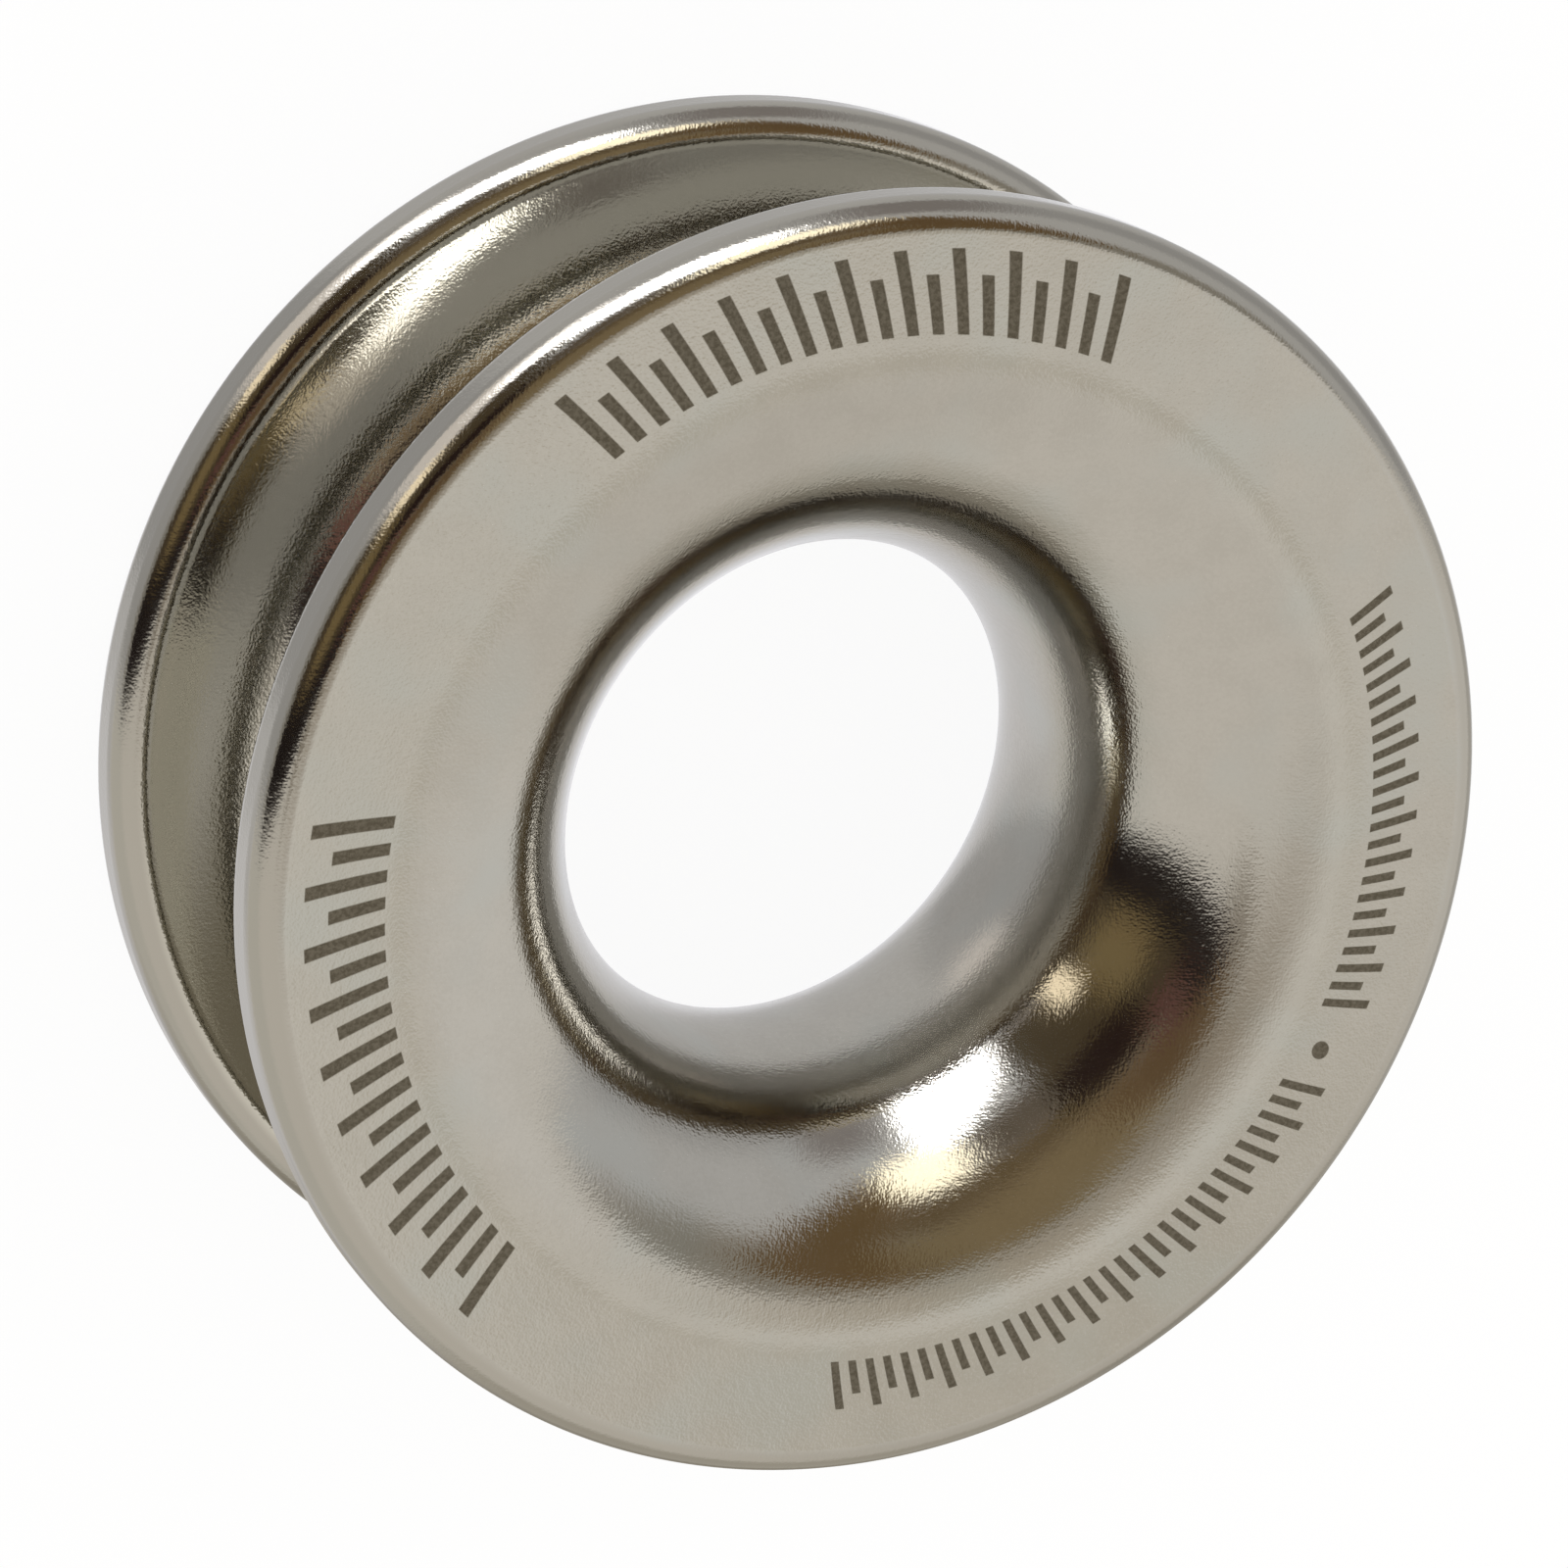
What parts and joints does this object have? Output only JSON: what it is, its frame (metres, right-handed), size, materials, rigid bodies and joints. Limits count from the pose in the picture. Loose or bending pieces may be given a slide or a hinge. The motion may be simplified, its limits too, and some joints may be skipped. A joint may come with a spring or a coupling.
{
  "type": "low friction ring",
  "caption": "Turned metal low friction ring: a line runs through its half-round throat, and a strop or lashing seats in the deep groove round the outside.",
  "frame": {"origin": "centre of the bore, half-way between the two faces", "axes": "+Z along the ring's axis, out of the marked face; +X and +Y lie in the mid-plane of the ring"},
  "size_m": [0.04, 0.04, 0.016],
  "materials": {
    "titanium": "satin faces with polished throat, rims and groove"
  },
  "bodies": {
    "root": {"ring": "titanium"}
  },
  "joints": []
}
